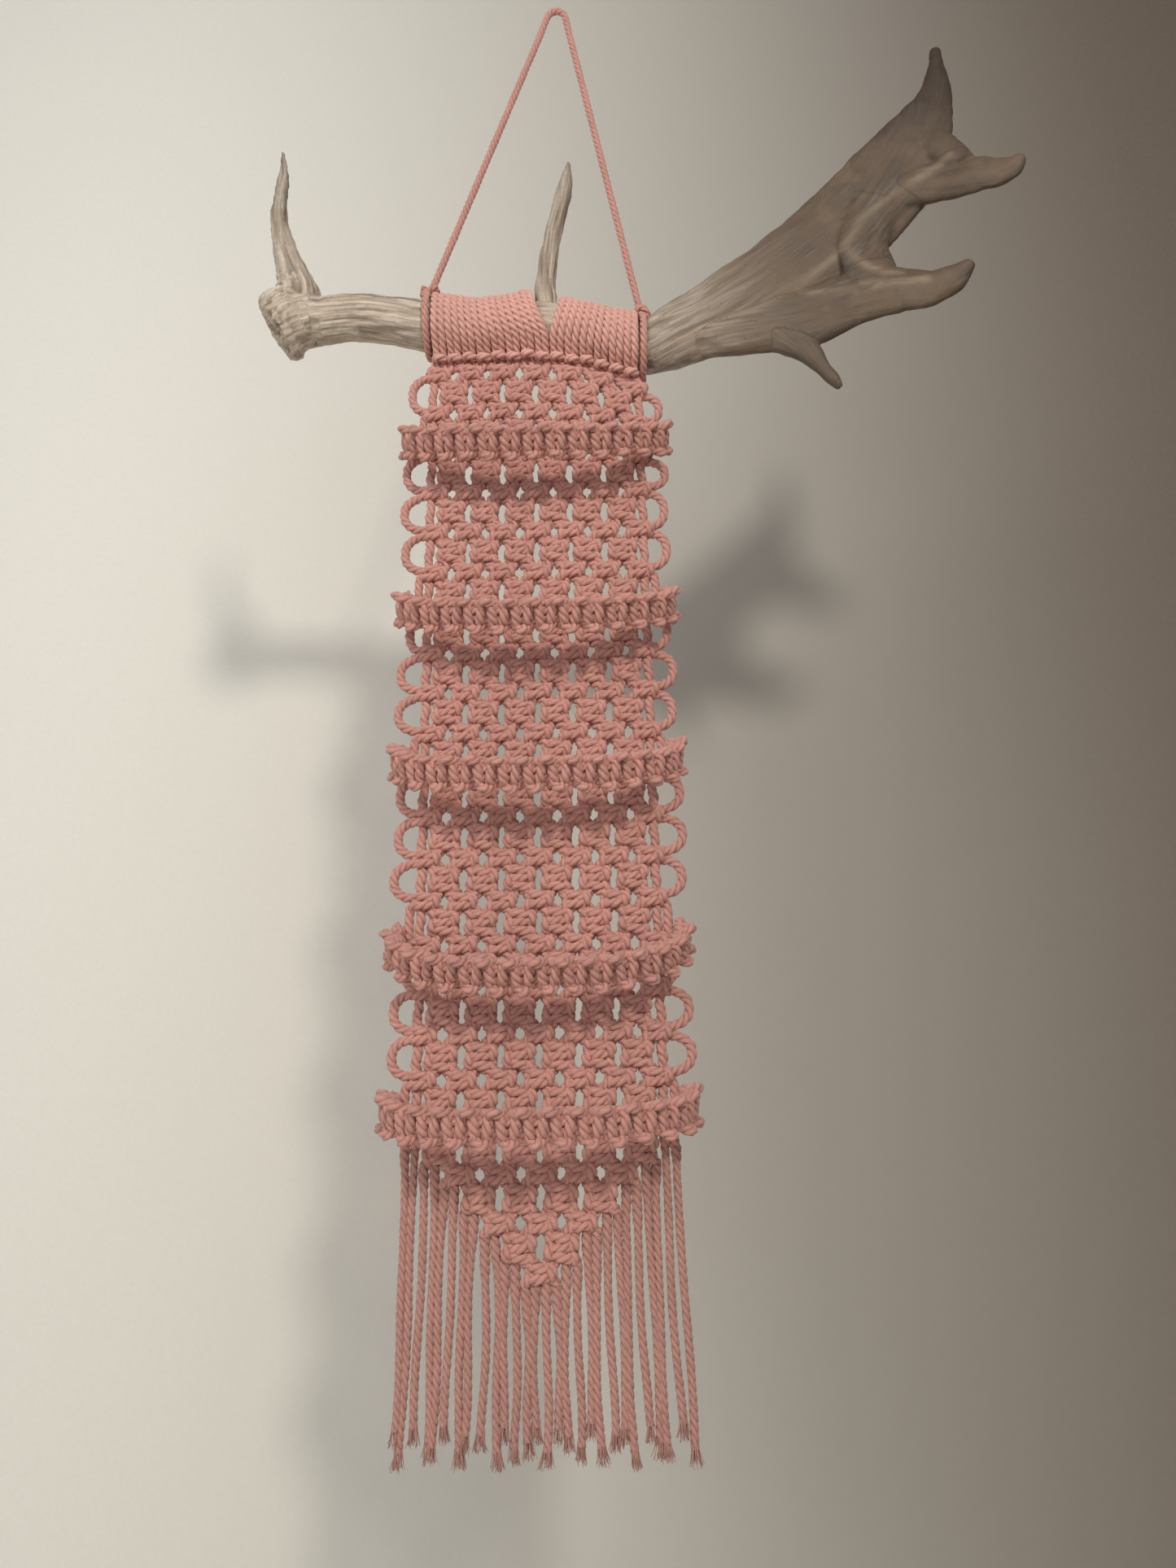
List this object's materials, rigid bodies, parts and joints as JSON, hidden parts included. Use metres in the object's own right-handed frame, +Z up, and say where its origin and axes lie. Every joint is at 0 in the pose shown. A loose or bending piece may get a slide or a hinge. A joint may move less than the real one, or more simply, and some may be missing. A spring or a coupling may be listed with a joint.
{
  "type": "tapestry wall hanging",
  "caption": "Knotted cotton wall hanging looped over a shed antler and hung from one cord, with stand-off bands across its front as pockets and a pointed fringe.",
  "frame": {"origin": "top of the hanging cord's bend, where it lies on the wall hook", "axes": "+Z up, +X to the right as seen from the room, +Y towards the wall"},
  "size_m": [0.4756, 0.0855, 0.9111],
  "materials": {
    "antler_bone": "dry, weathered antler bone, satin on the ridges, with brown-grey mottling and fine lengthwise grooves",
    "hanging_cord": "twisted 3-ply cotton cord, matt",
    "hanger_knots": "twisted 3-ply cotton cord, matt, tied",
    "larks_heads": "twisted 3-ply cotton cord, matt, wrapped tight",
    "knotted_panel": "square knots of twisted 3-ply cotton cord, matt",
    "pocket_bands": "square knots of twisted 3-ply cotton cord over filler cords, matt",
    "fringe_cords": "twisted 3-ply cotton cord, matt, frayed at the ends"
  },
  "bodies": {
    "hanger": {"hanging_cord": "hanging_cord", "hanger_knot_left": "hanger_knots", "hanger_knot_right": "hanger_knots"},
    "antler": {"antler": "antler_bone", "larks_head_01": "larks_heads", "larks_head_02": "larks_heads", "larks_head_03": "larks_heads", "larks_head_04": "larks_heads", "larks_head_05": "larks_heads", "larks_head_06": "larks_heads", "larks_head_07": "larks_heads", "larks_head_08": "larks_heads", "larks_head_09": "larks_heads", "larks_head_10": "larks_heads", "larks_head_11": "larks_heads", "larks_head_12": "larks_heads", "larks_head_13": "larks_heads", "larks_head_14": "larks_heads"},
    "panel_1": {"panel_section_1": "knotted_panel"},
    "panel_2": {"panel_section_2": "knotted_panel"},
    "panel_3": {"panel_section_3": "knotted_panel"},
    "panel_4": {"panel_section_4": "knotted_panel"},
    "panel_5": {"panel_section_5": "knotted_panel"},
    "tail": {"panel_point": "knotted_panel", "fringe_cord_01": "fringe_cords", "fringe_cord_02": "fringe_cords", "fringe_cord_03": "fringe_cords", "fringe_cord_04": "fringe_cords", "fringe_cord_05": "fringe_cords", "fringe_cord_06": "fringe_cords", "fringe_cord_07": "fringe_cords", "fringe_cord_08": "fringe_cords", "fringe_cord_09": "fringe_cords", "fringe_cord_10": "fringe_cords", "fringe_cord_11": "fringe_cords", "fringe_cord_12": "fringe_cords", "fringe_cord_13": "fringe_cords", "fringe_cord_14": "fringe_cords", "fringe_cord_15": "fringe_cords", "fringe_cord_16": "fringe_cords", "fringe_cord_17": "fringe_cords", "fringe_cord_18": "fringe_cords", "fringe_cord_19": "fringe_cords", "fringe_cord_20": "fringe_cords", "fringe_cord_21": "fringe_cords", "fringe_cord_22": "fringe_cords", "fringe_cord_23": "fringe_cords", "fringe_cord_24": "fringe_cords", "fringe_cord_25": "fringe_cords", "fringe_cord_26": "fringe_cords", "fringe_cord_27": "fringe_cords", "fringe_cord_28": "fringe_cords"},
    "band_1": {"pocket_band_1": "pocket_bands"},
    "band_2": {"pocket_band_2": "pocket_bands"},
    "band_3": {"pocket_band_3": "pocket_bands"},
    "band_4": {"pocket_band_4": "pocket_bands"},
    "band_5": {"pocket_band_5": "pocket_bands"}
  },
  "joints": [
    {"name": "antler_tilt", "type": "hinge", "parent": "hanger", "child": "antler", "pos_m": [-0.016, 0, -0.27475], "axis": [0.9898, 0, -0.1425], "range_deg": [-6, 12]},
    {"name": "panel_swing", "type": "hinge", "parent": "antler", "child": "panel_1", "pos_m": [-0.016, 0, -0.3143], "axis": [-1, 0, 0], "range_deg": [-4, 45]},
    {"name": "panel_fold_2", "type": "hinge", "parent": "panel_1", "child": "panel_2", "pos_m": [-0.016, 0, -0.37115], "axis": [-1, 0, 0], "range_deg": [-10, 15]},
    {"name": "panel_fold_3", "type": "hinge", "parent": "panel_2", "child": "panel_3", "pos_m": [-0.016, 0, -0.47828], "axis": [-1, 0, 0], "range_deg": [-10, 15]},
    {"name": "panel_fold_4", "type": "hinge", "parent": "panel_3", "child": "panel_4", "pos_m": [-0.016, 0, -0.57685], "axis": [-1, 0, 0], "range_deg": [-10, 15]},
    {"name": "panel_fold_5", "type": "hinge", "parent": "panel_4", "child": "panel_5", "pos_m": [-0.016, 0, -0.68358], "axis": [-1, 0, 0], "range_deg": [-10, 15]},
    {"name": "tail_swing", "type": "hinge", "parent": "panel_5", "child": "tail", "pos_m": [-0.016, 0, -0.7651], "axis": [-1, 0, 0], "range_deg": [-10, 20]},
    {"name": "band_1_lift", "type": "hinge", "parent": "panel_1", "child": "band_1", "pos_m": [-0.016, 0, -0.3495], "axis": [-1, 0, 0], "range_deg": [0, 60]},
    {"name": "band_2_lift", "type": "hinge", "parent": "panel_2", "child": "band_2", "pos_m": [-0.016, 0, -0.461], "axis": [-1, 0, 0], "range_deg": [0, 60]},
    {"name": "band_3_lift", "type": "hinge", "parent": "panel_3", "child": "band_3", "pos_m": [-0.016, 0, -0.5555], "axis": [-1, 0, 0], "range_deg": [0, 60]},
    {"name": "band_4_lift", "type": "hinge", "parent": "panel_4", "child": "band_4", "pos_m": [-0.016, 0, -0.6575], "axis": [-1, 0, 0], "range_deg": [0, 60]},
    {"name": "band_5_lift", "type": "hinge", "parent": "panel_5", "child": "band_5", "pos_m": [-0.016, 0, -0.7445], "axis": [-1, 0, 0], "range_deg": [0, 40]}
  ]
}
